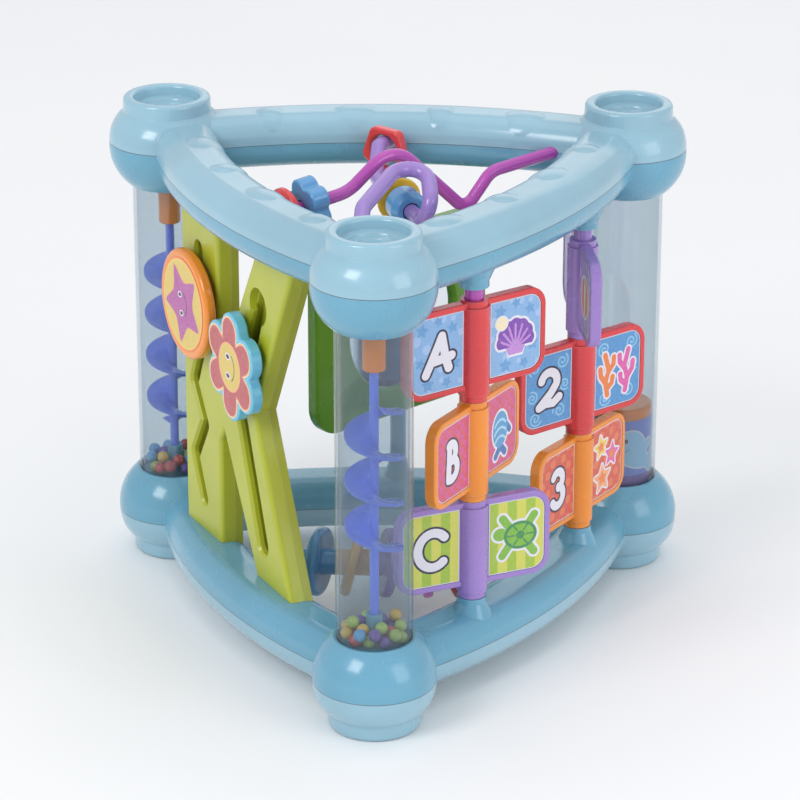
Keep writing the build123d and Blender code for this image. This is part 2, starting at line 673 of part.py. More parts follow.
def turned_bead(profile, bore):
    """Bead turned from radius and height pairs."""
    closed = Polyline((0, profile[0][1]), *profile, (0, profile[-1][1]), close=True)
    bead = revolve(Plane.XZ * make_face(closed), Axis.Z)
    bead = fillet(bead.edges().filter_by(GeomType.CIRCLE), 0.9)
    return bead - Cylinder(bore, 80)


def maze_beads():
    """The five beads of the maze, each threaded on a straight stretch of its rod."""
    m0 = magenta_point(*MAGENTA_RISE[0])
    m1 = magenta_point(*MAGENTA_RISE[1])
    l0, l1, l2, l3 = LAVENDER_PATH[5:9]
    magenta_bore = MAGENTA_R + MAZE_CLEAR
    lavender_bore = LAVENDER_R + MAZE_CLEAR
    red = turned_bead(((11, -3), (13, -1.2), (13, 1.2), (11, 3)), magenta_bore)
    blue = petal_bead(8.2, 6.2, 5, 10, magenta_bore)
    barrel = turned_bead(((7.4, -8.5), (9.6, -4.5), (9.6, 4.5), (7.4, 8.5)), lavender_bore)
    bell = turned_bead(((12, -9), (11, -5), (8.2, 2), (7.2, 9)), lavender_bore)
    ring = ring_bead(15.0, 5, 6, RING_BORE)
    hang = RING_BORE - LAVENDER_R - MAZE_CLEAR
    return {
        "red_bead": on_line(m0, m1, 15, red),
        "blue_flower_bead": on_line(m0, m1, 29, blue),
        "blue_barrel_bead": on_line(l0, l1, 25, barrel),
        "yellow_bell_bead": on_line(l0, l1, 44, bell),
        "red_ring_bead": Pos(0, 0, -hang) * on_line(l2, l3, 6.6, Rot(0, 0, RING_TURN) * ring),
    }


# ---------------------------------------------------------------- assembly
def build():
    nodes = {}
    outside_top = ring_outside()
    outside_bottom = flip(outside_top)
    shell = ring_shell()
    post, post_bore = mirror_post()
    boss, boss_bore = spindle_sockets()

    cover = upper_half(shell, SEAM_Z)
    under = lower_half(shell, SEAM_Z) + boss + post - boss_bore - post_bore
    bottom_cover = flip(cover)
    bottom_upper = flip(under)
    for bump in bar_bumps():
        cover = cover + (bump - outside_top)
        bottom_cover = bottom_cover + flip(bump - outside_top)

    under, cover = with_screw_posts(under, cover, BAR_Z - BAR_H / 2, SEAM_Z, BAR_Z + BAR_H / 2)
    bottom_cover, bottom_upper = with_screw_posts(
        bottom_cover, bottom_upper, HEIGHT - BAR_Z - BAR_H / 2, HEIGHT - SEAM_Z, HEIGHT - BAR_Z + BAR_H / 2)

    tenon_slots = face_plane(LEFT_FACE) * k_tenons()
    magenta = magenta_rod()
    lavender = lavender_rod()
    axle = roller_axle()
    nodes["top_cover"] = cover - magenta - lavender
    nodes["top_under_shell"] = under - magenta - lavender - tenon_slots
    nodes["base_upper_shell"] = bottom_upper - axle - tenon_slots
    nodes["base_cover"] = bottom_cover - axle
    nodes["top_screws"] = screws(BAR_Z - BAR_H / 2)
    nodes["base_screws"] = screws(HEIGHT - BAR_Z - BAR_H / 2)

    for corner, bearing in CORNERS.items():
        place = polar(CORNER_R, bearing)
        nodes[corner + "_tube"] = at(place, tube())
        nodes[corner + "_tube_plug"] = at(place, tube_plug(corner != "right"))
    for corner, seed in (("front", 5), ("left", 11)):
        place = polar(CORNER_R, CORNERS[corner])
        turn = Rot(0, 0, 40 if corner == "front" else 100)
        nodes[corner + "_auger"] = at(place, turn * auger(AUGER_BOTTOM_Z[corner]))
        nodes[corner + "_auger_bush"] = at(place, auger_bush())
        nodes[corner + "_beads"] = [at(place, bead) for bead in bead_heap(seed)]
    body, rim, cap = drum_pieces()
    right = polar(CORNER_R, CORNERS["right"])
    nodes["drum_body"] = at(right, body)
    nodes["drum_rim"] = at(right, rim)
    nodes["drum_cap"] = at(right, cap)

    for x, rod_name, tiles in ((-SPINDLE_X, "magenta_spindle", ("tile_c", "tile_b", "tile_a")),
                               (SPINDLE_X, "lavender_spindle", ("tile_3", "tile_2", "tile_1"))):
        place = face_point(RIGHT_FACE, x, SPINDLE_OUT)
        nodes[rod_name] = at(place, spindle())
        for row, name in enumerate(tiles):
            nodes[name] = at(place, tile(RIGHT_FACE + 90 - TILE_TURN[name], row))

    nodes["k_front_plate"] = k_front_plate(outside_top, outside_bottom)
    nodes["k_back_plate"] = k_back_plate(outside_top, outside_bottom)
    nodes["star_shoe"] = shoe(STAR_AT, ZIGZAG_W)
    nodes["star_disc"] = star_disc()
    nodes["flower_shoe"] = shoe(FLOWER_AT, CHEVRON_W)
    nodes["flower_disc"] = flower_disc()

    nodes["mirror_front_frame"] = mirror_half(1)
    nodes["mirror_back_frame"] = mirror_half(-1)
    nodes["mirror_plate"] = mirror_glass()
    nodes["mirror_pins"] = mirror_pins()

    nodes["roller_axle"] = axle
    for index, colour in enumerate(ROLLER_COLOURS):
        nodes["roller_disc_" + colour] = roller_disc(index)

    nodes["magenta_rod"] = magenta
    nodes["lavender_rod"] = lavender
    nodes.update(maze_beads())
    return nodes


def export(nodes):
    os.makedirs("parts", exist_ok=True)
    shift = Pos(0, TOWER_SHIFT_Y, 0)
    for name, shape in nodes.items():
        solids = shape if isinstance(shape, list) else shape.solids()
        placed = [shift * solid for solid in solids]
        export_step(placed[0] if len(placed) == 1 else Compound(children=placed), "parts/" + name + ".step")


export(build())
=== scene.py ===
import bmesh
import bpy
import math
import numpy as np
from mathutils import Matrix, Vector


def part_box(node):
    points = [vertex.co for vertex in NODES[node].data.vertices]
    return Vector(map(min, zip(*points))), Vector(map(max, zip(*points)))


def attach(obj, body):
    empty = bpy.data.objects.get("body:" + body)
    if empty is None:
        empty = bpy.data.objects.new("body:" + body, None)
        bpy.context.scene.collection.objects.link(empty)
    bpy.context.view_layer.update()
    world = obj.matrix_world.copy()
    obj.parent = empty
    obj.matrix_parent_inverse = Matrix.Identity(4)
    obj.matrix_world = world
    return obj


# Looks of a triangular activity tower.  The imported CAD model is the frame: its nodes stay where they
# are and get materials, and the printed labels are thin meshes that lie on them.
# The scene is in metres.  Flat artwork is drawn in millimetres and scaled when it is laid down.

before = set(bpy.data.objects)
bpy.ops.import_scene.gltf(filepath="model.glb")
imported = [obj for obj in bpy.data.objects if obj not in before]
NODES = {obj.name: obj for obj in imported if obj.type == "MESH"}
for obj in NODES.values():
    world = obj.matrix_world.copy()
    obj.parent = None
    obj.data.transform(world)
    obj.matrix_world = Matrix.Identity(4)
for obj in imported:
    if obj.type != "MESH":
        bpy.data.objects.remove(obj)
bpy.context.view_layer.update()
MM = 0.001
UP = Vector((0, 0, 1))


# ---------------------------------------------------------------- colours
def rgb(red, green, blue):
    """Scene-linear colour from values of 0 to 255."""
    def linear(value):
        share = value / 255
        return share / 12.92 if share <= 0.04045 else ((share + 0.055) / 1.055) ** 2.4
    return (linear(red), linear(green), linear(blue), 1.0)


def tone(colour, factor):
    """Colour made darker or lighter by a factor."""
    return tuple(min(1.0, c * factor) for c in colour[:3]) + (1.0,)


def between(a, b, share):
    """Colour part of the way from a to b."""
    return tuple(x + (y - x) * share for x, y in zip(a, b))


WHITE = rgb(255, 255, 255)
PALE_BLUE = rgb(149, 189, 206)
TEAL = rgb(106, 166, 192)
LIME = rgb(182, 188, 48)
GREEN = rgb(100, 160, 20)
ORANGE = rgb(243, 145, 45)
RED = rgb(222, 62, 66)
LAVENDER = rgb(163, 132, 205)
PURPLE = rgb(120, 80, 165)
MAGENTA = rgb(190, 80, 180)
AUGER_BLUE = rgb(112, 136, 238)
BEAD_BLUE = rgb(95, 158, 208)
YELLOW = rgb(240, 190, 45)
PERIWINKLE = rgb(128, 140, 215)
SKY = rgb(112, 194, 222)
AMBER = rgb(222, 156, 28)
DEEP_ORANGE = rgb(248, 134, 20)
DARK_RED = rgb(150, 32, 48)


# ---------------------------------------------------------------- node materials
# Noise scales are in features per metre.
PIGMENT_FLOW = 16.0
PIGMENT_FLECK = 1500.0
ORANGE_PEEL = 170.0
MOULD_GRAIN = 2300.0
SHINE_PATCHES = 70.0
HANDLED_PATCHES = 30.0
PAPER_GRAIN = 700.0
PRINT_SHINE = 120.0
FILM_WAVES = 420.0
TUBE_HAZE = 35.0
TUBE_SHINE = 90.0
TUBE_WAVES = 60.0
MIRROR_SMEAR = 28.0
MIRROR_WAVES = 22.0
ZINC_BLOOM = 240.0

RUBBED_EDGE = 0.9 * MM    # width of the paler band along an edge
EASED_EDGE = 0.45 * MM    # radius that sharp edges seem to have
SHADE_REACH = 7 * MM      # width of a gap darkened with painted shade
PRINT_REACH = 3 * MM      # the same for a print in its pocket
SEAM_DARK = 0.12 * MM     # half of the dark line between two shells
SEAM_FADE = 0.34 * MM


class Shader:
    """One node material.  An input is a number, a colour, or the output of another node."""

    def __init__(self, name):
        self.material = bpy.data.materials.new(name)
        self.material.use_nodes = True
        self.tree = self.material.node_tree
        self.tree.nodes.clear()
        self.place = self.add("TexCoord", out="Object")

    def add(self, kind, inputs=(), out=0, **settings):
        """Add a shader node with its inputs and settings, and return one of its outputs."""
        node = self.tree.nodes.new("ShaderNode" + kind)
        for key, value in settings.items():
            setattr(node, key, value)
        for key, value in dict(inputs).items():
            if isinstance(value, bpy.types.NodeSocket):
                self.tree.links.new(value, node.inputs[key])
            else:
                node.inputs[key].default_value = value
        return node.outputs[out]

    def math(self, operation, a, b=0.0):
        return self.add("Math", {0: a, 1: b}, operation=operation)

    def span(self, value, low, high, to_low=0.0, to_high=1.0):
        """Value mapped smoothly from one range to another, and held at its ends."""
        return self.add("MapRange", {0: value, 1: low, 2: high, 3: to_low, 4: to_high},
                        interpolation_type="SMOOTHSTEP")

    def mix(self, share, a, b):
        """Colour a at share 0 and b at share 1."""
        return self.add("Mix", {0: share, 6: a, 7: b}, out=2, data_type="RGBA")

    def stretched(self, x, y, z, turn=0.0):
        """Position turned and scaled by its own factor along each axis."""
        return self.add("Mapping", {"Vector": self.place, "Rotation": (turn, turn / 2, turn),
                                    "Scale": (x, y, z)})

    def noise(self, scale, detail, vector=None):
        source = self.place if vector is None else vector
        return self.add("TexNoise", {"Vector": source, "Scale": scale, "Detail": detail})

    def edge(self, radius):
        """1 along the solid's sharp edges, 0 on its open faces."""
        soft = self.add("Bevel", {"Radius": radius}, samples=4)
        sharp = self.add("NewGeometry", out="Normal")
        along = self.add("VectorMath", {0: soft, 1: sharp}, out="Value", operation="DOT_PRODUCT")
        return self.span(self.math("SUBTRACT", 1.0, along), 0.015, 0.16)

    def recess_shade(self, reach):
        """Mask for painted shade: 1 deep in corners and gaps, 0 in the open."""
        open_share = self.add("AmbientOcclusion", {"Distance": reach}, out="AO", samples=4)
        return self.span(open_share, 0.85, 0.25)

    def scratches(self):
        """Sparse hairline marks in two directions, gathered where the piece is handled."""
        one = self.noise(1.0, 0.0, self.stretched(45, 60, 2600, 0.5))
        two = self.noise(1.0, 0.0, self.stretched(2400, 55, 50, 1.3))
        lines = self.math("MAXIMUM", self.span(one, 0.78, 0.84), self.span(two, 0.78, 0.84))
        handled = self.span(self.noise(HANDLED_PATCHES, 2.0), 0.45, 0.65)
        return self.math("MULTIPLY", lines, handled)

    def bump(self, height, distance, normal=None):
        """Surface normal roughened by a height, on top of another normal if one is given."""
        inputs = {"Height": height, "Distance": distance, "Strength": 1.0}
        if normal is not None:
            inputs["Normal"] = normal
        return self.add("Bump", inputs)

    def rounded(self, radius):
        """Surface normal with the sharp edges eased over a radius."""
        return self.add("Bevel", {"Radius": radius}, samples=4)

    def principled(self, **inputs):
        """Principled shader; an underscore in an input's name stands for a space."""
        named = {key.replace("_", " "): value for key, value in inputs.items()}
        return self.add("BsdfPrincipled", named)

    def end(self, surface):
        """Show the surface, and return the finished material."""
        output = self.tree.nodes.new("ShaderNodeOutputMaterial")
        self.tree.links.new(surface, output.inputs["Surface"])
        return self.material


def plastic(name, colour, roughness, grain=0.0, seam=None, soft=0.06, coat=0.25):
    """Moulded plastic: flowed pigment, orange peel, hairline scratches, rubbed edges, and painted shade in
    its recesses.
    """
    s = Shader(name)
    flow = s.noise(PIGMENT_FLOW, 3.0)
    fleck = s.noise(PIGMENT_FLECK, 1.0)
    marks = s.scratches()
    edge = s.edge(RUBBED_EDGE)
    recess_shade = s.recess_shade(SHADE_REACH)
    rubbed = s.math("MULTIPLY", edge, s.math("SUBTRACT", 1.0, recess_shade))
    tint = s.mix(s.span(flow, 0.3, 0.7), tone(colour, 0.94), tone(colour, 1.05))
    tint = s.mix(s.span(fleck, 0.6, 0.78, 0.0, 0.12), tint, tone(colour, 0.75))
    tint = s.mix(s.math("MULTIPLY", rubbed, 0.30), tint, between(colour, WHITE, 0.45))
    tint = s.mix(s.math("MULTIPLY", marks, 0.05), tint, between(colour, WHITE, 0.6))
    # Painted shade: the colour is darkened in corners and gaps, using an ambient occlusion mask.
    tint = s.mix(s.math("MULTIPLY", recess_shade, 0.30), tint, tone(colour, 0.55))
    if seam:
        mid_height, half_gap = seam
        height = s.add("SeparateXYZ", {0: s.place}, out="Z")
        from_middle = s.math("ABSOLUTE", s.math("SUBTRACT", height, mid_height))
        off = s.math("ABSOLUTE", s.math("SUBTRACT", from_middle, half_gap))
        line = s.span(off, SEAM_FADE, SEAM_DARK)
        tint = s.mix(s.math("MULTIPLY", line, 0.75), tint, tone(colour, 0.22))
    patches = s.span(s.noise(SHINE_PATCHES, 4.0), 0.3, 0.7, roughness - 0.05, roughness + 0.07)
    worn = s.math("ADD", s.math("MULTIPLY", marks, 0.12), s.math("MULTIPLY", rubbed, 0.15))
    rough = s.math("ADD", patches, worn)
    eased = s.rounded(EASED_EDGE)
    peel = s.bump(s.noise(ORANGE_PEEL, 1.0), 0.06 * MM, eased)
    fine = s.bump(s.noise(MOULD_GRAIN, 2.0), (0.004 + 0.03 * grain) * MM, peel)
    surface = s.principled(Base_Color=tint, Roughness=rough, Normal=fine, IOR=1.5, Coat_Weight=coat,
                           Coat_Roughness=0.12, Coat_Normal=peel, Subsurface_Weight=soft,
                           Subsurface_Radius=(1.0, 0.8, 0.7), Subsurface_Scale=1.5 * MM)
    return s.end(surface)


def clear_plastic(name):
    """Thin clear tube wall: grey-blue tint, a breath of haze, mirror-like only at a glancing angle."""
    s = Shader(name)
    glancing = s.add("LayerWeight", {"Blend": 0.5}, out="Facing")
    tint = s.mix(s.span(glancing, 0.35, 1.0), rgb(236, 241, 244), rgb(222, 229, 234))
    marks = s.scratches()
    breath = s.span(s.noise(TUBE_HAZE, 3.0), 0.3, 0.75, 0.02, 0.045)
    haze = s.math("ADD", breath, s.math("MULTIPLY", marks, 0.05))
    through = s.add("BsdfTransparent", {"Color": tint})
    milky = s.add("BsdfDiffuse", {"Color": rgb(180, 196, 208)})
    polish = s.span(s.noise(TUBE_SHINE, 3.0), 0.3, 0.7, 0.04, 0.10)
    gloss = s.add("BsdfGlossy", {"Color": WHITE, "Roughness": polish,
                                 "Normal": s.bump(s.noise(TUBE_WAVES, 1.0), 0.04 * MM)})
    body = s.add("MixShader", {0: haze, 1: through, 2: milky})
    mirrored = s.math("ADD", 0.035, s.math("MULTIPLY", 0.9, s.math("POWER", glancing, 5.0)))
    return s.end(s.add("MixShader", {0: mirrored, 1: body, 2: gloss}))


def mirror_film(name):
    """Aluminium film behind acrylic: nearly a mirror, softly wavy, with faint wipe marks."""
    s = Shader(name)
    marks = s.scratches()
    smear = s.noise(MIRROR_SMEAR, 5.0)
    rough = s.math("ADD", s.span(smear, 0.35, 0.75, 0.035, 0.10), s.math("MULTIPLY", marks, 0.2))
    wavy = s.bump(s.noise(MIRROR_WAVES, 1.0), 0.12 * MM)
    tint = s.mix(s.span(smear, 0.4, 0.8), rgb(226, 232, 236), rgb(206, 214, 220))
    return s.end(s.principled(Base_Color=tint, Metallic=1.0, Roughness=rough, Normal=wavy, Coat_Weight=0.4,
                              Coat_Roughness=0.05))


def steel(name):
    """Zinc-plated screw steel with turning marks and worn bright edges."""
    s = Shader(name)
    rings = s.noise(1.0, 2.0, s.stretched(900, 900, 5200))
    edge = s.edge(0.4 * MM)
    tint = s.mix(s.span(s.noise(ZINC_BLOOM, 3.0), 0.35, 0.7), rgb(150, 154, 158), rgb(186, 188, 190))
    tint = s.mix(s.math("MULTIPLY", edge, 0.6), tint, rgb(226, 226, 224))
    rough = s.span(rings, 0.3, 0.7, 0.24, 0.44)
    return s.end(s.principled(Base_Color=tint, Metallic=1.0, Roughness=rough,
                              Normal=s.bump(rings, 0.012 * MM)))


def printed(name, colour, pattern=None):
    """Laminated print.  A pattern takes the shader, a place on the sheet in millimetres, and the ground."""
    s = Shader(name)
    base = colour
    if pattern:
        spot = s.add("SeparateXYZ", {0: s.add("UVMap", uv_map="UVMap")})
        across = spot.node.outputs["X"]
        upward = spot.node.outputs["Y"]
        base = pattern(s, across, upward, colour)
    ink = s.noise(PAPER_GRAIN, 2.0)
    base = s.mix(s.span(ink, 0.42, 0.66, 0.0, 0.10), base, between(colour, WHITE, 0.5))
    # Painted shade: the print is darkened near the walls of its pocket, using an ambient occlusion mask.
    base = s.mix(s.math("MULTIPLY", s.recess_shade(PRINT_REACH), 0.3), base, tone(colour, 0.5))
    marks = s.scratches()
    base = s.mix(s.math("MULTIPLY", marks, 0.10), base, WHITE)
    patches = s.span(s.noise(PRINT_SHINE, 3.0), 0.3, 0.7, 0.30, 0.42)
    rough = s.math("ADD", patches, s.math("MULTIPLY", marks, 0.2))
    film = s.bump(s.noise(FILM_WAVES, 2.0), 0.012 * MM)
    return s.end(s.principled(Base_Color=base, Roughness=rough, Normal=film, Coat_Weight=0.35,
                              Coat_Roughness=0.16))


def bubbles(paler):
    """Pale round spots of several sizes."""
    def pattern(s, across, upward, colour):
        spot = s.add("CombineXYZ", {"X": across, "Y": upward})
        cells = s.add("TexVoronoi", {"Vector": spot, "Scale": 0.12, "Randomness": 0.75}, out="Distance")
        return s.mix(s.span(cells, 0.36, 0.33), colour, paler)
    return pattern


def checks(other, pitch):
    """Soft-cornered chequer."""
    def pattern(s, across, upward, colour):
        wave_u = s.math("SINE", s.math("MULTIPLY", across, math.pi / pitch))
        wave_v = s.math("SINE", s.math("MULTIPLY", upward, math.pi / pitch))
        return s.mix(s.span(s.math("MULTIPLY", wave_u, wave_v), -0.06, 0.06), colour, other)
    return pattern


def stripes(other, pitch):
    """Upright stripes."""
    def pattern(s, across, upward, colour):
        wave = s.math("SINE", s.math("MULTIPLY", across, math.pi / pitch))
        return s.mix(s.span(wave, -0.05, 0.05), colour, other)
    return pattern


def dots(other, pitch):
    """Round spots in staggered rows."""
    def pattern(s, across, upward, colour):
        one = s.math("COSINE", s.math("MULTIPLY", s.math("ADD", across, upward), math.pi / pitch))
        two = s.math("COSINE", s.math("MULTIPLY", s.math("SUBTRACT", across, upward), math.pi / pitch))
        return s.mix(s.span(s.math("ADD", one, two), 0.35, 0.5), colour, other)
    return pattern


# ---------------------------------------------------------------- flat shapes, in millimetres
def arc(centre, radius, start, end, steps=14, squash=1.0):
    """Points along an arc, angles in degrees."""
    points = []
    for i in range(steps + 1):
        a = math.radians(start + (end - start) * i / steps)
        points.append((centre[0] + radius * math.cos(a), centre[1] + squash * radius * math.sin(a)))
    return points


def oval(centre, rx, ry, turn=0.0, steps=32):
    """Ellipse with half widths rx and ry, turned in degrees."""
    c, n = math.cos(math.radians(turn)), math.sin(math.radians(turn))
    points = []
    for i in range(steps):
        a = 2 * math.pi * i / steps
        x, y = rx * math.cos(a), ry * math.sin(a)
        points.append((centre[0] + x * c - y * n, centre[1] + x * n + y * c))
    return points


def rounded_rect(x0, y0, x1, y1, radii):
    """Corner radii run anticlockwise from the lower left; a zero gives a square corner."""
    corners = [(x0, y0, 180), (x1, y0, 270), (x1, y1, 0), (x0, y1, 90)]
    inward = [(1, 1), (-1, 1), (-1, -1), (1, -1)]
    points = []
    for (x, y, start), (ix, iy), r in zip(corners, inward, radii):
        if r:
            points += arc((x + ix * r, y + iy * r), r, start, start + 90, 8)
        else:
            points.append((x, y))
    return points


def star(centre, outer, inner, turn, ease):
    """Five-pointed star, turned in degrees.  Ease is the share of each side that rounds its tips."""
    points = []
    for i in range(10):
        r = outer if i % 2 == 0 else inner
        a = math.radians(turn + 36 * i)
        tip = Vector((centre[0] + r * math.cos(a), centre[1] + r * math.sin(a)))
        points.append(tip)
    eased = []
    for i, tip in enumerate(points):
        before = points[i - 1]
        after = points[(i + 1) % 10]
        into = tip.lerp(before, ease)
        out = tip.lerp(after, ease)
        for k in range(5):
            t = k / 4
            eased.append(tuple(into * (1 - t) ** 2 + tip * (2 * t * (1 - t)) + out * t * t))
    return eased


def stroke(points, half):
    """Outline of a round-ended line of even width."""
    chain = [Vector(p) for p in points]
    left, right = [], []

    def cap(centre, first):
        spoke = first - centre
        return [centre + Matrix.Rotation(-math.pi * k / 8, 2) @ spoke for k in range(1, 8)]

    for i, p in enumerate(chain):
        along = (chain[min(i + 1, len(chain) - 1)] - chain[max(i - 1, 0)]).normalized()
        side = Vector((-along.y, along.x)) * half
        left.append(p + side)
        right.append(p - side)
    outline = left + cap(chain[-1], left[-1]) + right[::-1] + cap(chain[0], right[0])
    return [tuple(p) for p in outline]


def spiral(centre, radius, turns, start):
    """Points along a spiral from its middle outward."""
    points = []
    steps = int(18 * turns)
    for i in range(steps + 1):
        t = i / steps
        a = math.radians(start + 360 * turns * t)
        r = radius * (0.14 + 0.86 * t)
        points.append((centre[0] + r * math.cos(a), centre[1] + r * math.sin(a)))
    return points


def grown(outline, by):
    """Closed outline moved outward by a distance."""
    chain = [Vector(p) for p in outline]
    area = sum(a.x * b.y - b.x * a.y for a, b in zip(chain, chain[1:] + chain[:1]))
    sign = 1 if area > 0 else -1
    moved = []
    for i, p in enumerate(chain):
        along = (chain[(i + 1) % len(chain)] - chain[i - 1]).normalized()
        moved.append((p.x + sign * by * along.y, p.y - sign * by * along.x))
    return moved


def smooth(points, rounds=3):
    """Closed outline with its corners cut again and again."""
    for _ in range(rounds):
        points = [tuple(a[k] + (b[k] - a[k]) * t for k in (0, 1))
                  for a, b in zip(points, points[1:] + points[:1]) for t in (0.25, 0.75)]
    return points


# ---------------------------------------------------------------- printed labels
class Label:
    """Printed layers gathered into one mesh.  Each layer is a thin closed slab on those before it."""
    LAYER = 0.006         # how far a layer stands over the one before, in millimetres

    def __init__(self, name):
        self.name = name
        self.bm = bmesh.new()
        self.uv = self.bm.loops.layers.uv.new("UVMap")
        self.materials = []
        self.fresh = []       # vertices not yet laid on a surface
        self.level = 0.0      # top of the last layer
        self.zoom = 1.0       # scale of what is drawn next

    def slab(self, outline, material, thick=None):
        """Add one layer.  The first layer of a label has a thickness of its own and stands at height 0."""
        if material not in self.materials:
            self.materials.append(material)
        index = self.materials.index(material)
        low = 0.0 if thick else self.level - 2 * self.LAYER
        self.level = thick if thick else self.level + self.LAYER
        n = len(outline)
        spread = [(x * self.zoom, y * self.zoom) for x, y in outline]
        under = [self.bm.verts.new((x, y, low)) for x, y in spread]
        over = [self.bm.verts.new((x, y, self.level)) for x, y in spread]
        faces = [self.bm.faces.new(over), self.bm.faces.new(under[::-1])]
        for i in range(n):
            k = (i + 1) % n
            faces.append(self.bm.faces.new((under[i], under[k], over[k], over[i])))
        for face in faces:
            face.material_index = index
            for loop in face.loops:
                loop[self.uv].uv = loop.vert.co.xy
        self.fresh += under + over

    def lines(self, chains, half, material):
        """Add round-ended lines of one width."""
        for chain in chains:
            self.slab(stroke(chain, half), material)

    def place(self, lay, longest_edge=None):
        """Lay the layers drawn so far on a surface; lay turns (u, v, height) into a world point."""
        if longest_edge:
            bmesh.ops.triangulate(self.bm, faces=self.bm.faces)
            for _ in range(4):
                long_edges = [e for e in self.bm.edges if e.calc_length() > longest_edge]
                bmesh.ops.subdivide_edges(self.bm, edges=long_edges, cuts=1)
                bmesh.ops.triangulate(self.bm, faces=self.bm.faces)
            self.fresh = list(self.bm.verts)
        for vert in self.fresh:
            vert.co = lay(vert.co)
        self.fresh = []
        self.level = 0.0

    def finish(self, body):
        """Make the object, and let it ride on the body of a CAD node or joint."""
        bmesh.ops.recalc_face_normals(self.bm, faces=self.bm.faces)
        mesh = bpy.data.meshes.new(self.name)
        self.bm.to_mesh(mesh)
        self.bm.free()
        for material in self.materials:
            mesh.materials.append(material)
        obj = bpy.data.objects.new(self.name, mesh)
        bpy.context.scene.collection.objects.link(obj)
        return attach(obj, body)


def flat(origin, right):
    """Upright flat surface: u along right, v up, height towards whoever faces it."""
    out = right.cross(UP)
    return lambda p: origin + (right * p.x + UP * p.y + out * p.z) * MM


# ---------------------------------------------------------------- places taken from the frame
def middle(node):
    """Middle of a CAD node's box."""
    low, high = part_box(node)
    return (low + high) / 2


def level(point, height=0.0):
    """The point moved upright to a height."""
    return Vector((point.x, point.y, height))


FRONT = level(middle("front_tube"))
RIGHT = level(middle("right_tube"))
LEFT = level(middle("left_tube"))
TOP_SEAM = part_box("top_cover")[0].z
BASE_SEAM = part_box("base_cover")[1].z
MID_HEIGHT = (TOP_SEAM + BASE_SEAM) / 2
SEAM = (MID_HEIGHT, (TOP_SEAM - BASE_SEAM) / 2)
ALONG_LEFT_FACE = (FRONT - LEFT).normalized()
ALONG_RIGHT_FACE = (RIGHT - FRONT).normalized()


# ---------------------------------------------------------------- CAD nodes and their plastics
def repaint(material, *nodes):
    """Give whole CAD nodes one material."""
    for name in nodes:
        mesh = NODES[name].data
        mesh.materials.clear()
        mesh.materials.append(material)


def paint_frame():
    """Every CAD node's plastic, apart from the loose balls."""
    repaint(plastic("pale_blue_shell", PALE_BLUE, roughness=0.20, seam=SEAM, coat=0.4),
            "top_cover", "base_cover")
    repaint(plastic("teal_shell", TEAL, roughness=0.22, seam=SEAM, coat=0.35),
            "top_under_shell", "base_upper_shell")
    repaint(plastic("teal_fitting", TEAL, roughness=0.3), "front_tube_plug", "left_tube_plug",
            "right_tube_plug", "mirror_pins")
    repaint(plastic("lime_panel", LIME, roughness=0.34, grain=0.6, soft=0.1), "k_front_plate", "star_shoe",
            "flower_shoe")
    # Partly painted shade: the groove floor is a darker copy of the lime plastic, standing in for the shade
    # in the channels as well as for the back plate's own tone.
    repaint(plastic("shaded_lime_floor", tone(LIME, 0.86), roughness=0.38, grain=0.6, soft=0.1), "k_back_plate")
    repaint(plastic("mirror_green", GREEN, roughness=0.3, grain=0.3),
            "mirror_front_frame", "mirror_back_frame")
    repaint(plastic("red_tile", RED, roughness=0.26), "tile_a", "tile_2")
    repaint(plastic("orange_tile", ORANGE, roughness=0.26), "tile_b", "tile_3")
    repaint(plastic("lavender_tile", LAVENDER, roughness=0.27), "tile_c", "tile_1")
    repaint(plastic("orange_gloss", ORANGE, roughness=0.2, coat=0.4), "star_disc")
    repaint(plastic("deep_orange", DEEP_ORANGE, roughness=0.2, coat=0.4), "drum_cap", "front_auger_bush",
            "left_auger_bush")
    repaint(plastic("sky_gloss", SKY, roughness=0.22, coat=0.4), "flower_disc")
    repaint(plastic("auger_blue", AUGER_BLUE, roughness=0.24, soft=0.25), "front_auger", "left_auger")
    repaint(plastic("periwinkle", PERIWINKLE, roughness=0.3), "drum_body")
    repaint(plastic("purple_gloss", PURPLE, roughness=0.24), "drum_rim", "roller_disc_purple")
    repaint(plastic("magenta_gloss", MAGENTA, roughness=0.2, coat=0.4), "magenta_rod", "magenta_spindle",
            "roller_disc_magenta")
    repaint(plastic("lavender_gloss", LAVENDER, roughness=0.2, coat=0.4), "lavender_rod", "lavender_spindle")
    repaint(plastic("bead_blue", BEAD_BLUE, roughness=0.2, coat=0.4), "blue_flower_bead", "blue_barrel_bead",
            "roller_disc_blue", "roller_axle")
    repaint(plastic("bead_red", RED, roughness=0.2, coat=0.4), "red_bead", "red_ring_bead")
    repaint(plastic("dark_red", DARK_RED, roughness=0.22, coat=0.4), "roller_disc_red")
    repaint(plastic("bead_yellow", YELLOW, roughness=0.2, coat=0.4), "yellow_bell_bead")
    repaint(plastic("amber", AMBER, roughness=0.2, coat=0.4), "roller_disc_orange")
    repaint(clear_plastic("clear_wall"), "front_tube", "left_tube", "right_tube")
    repaint(mirror_film("mirror_film"), "mirror_plate")
    repaint(steel("screw_steel"), "top_screws", "base_screws")


BALL_R = 3.2 * MM
BALL_SEEDS = {"front_beads": 3, "left_beads": 8}      # for the draw of the colours


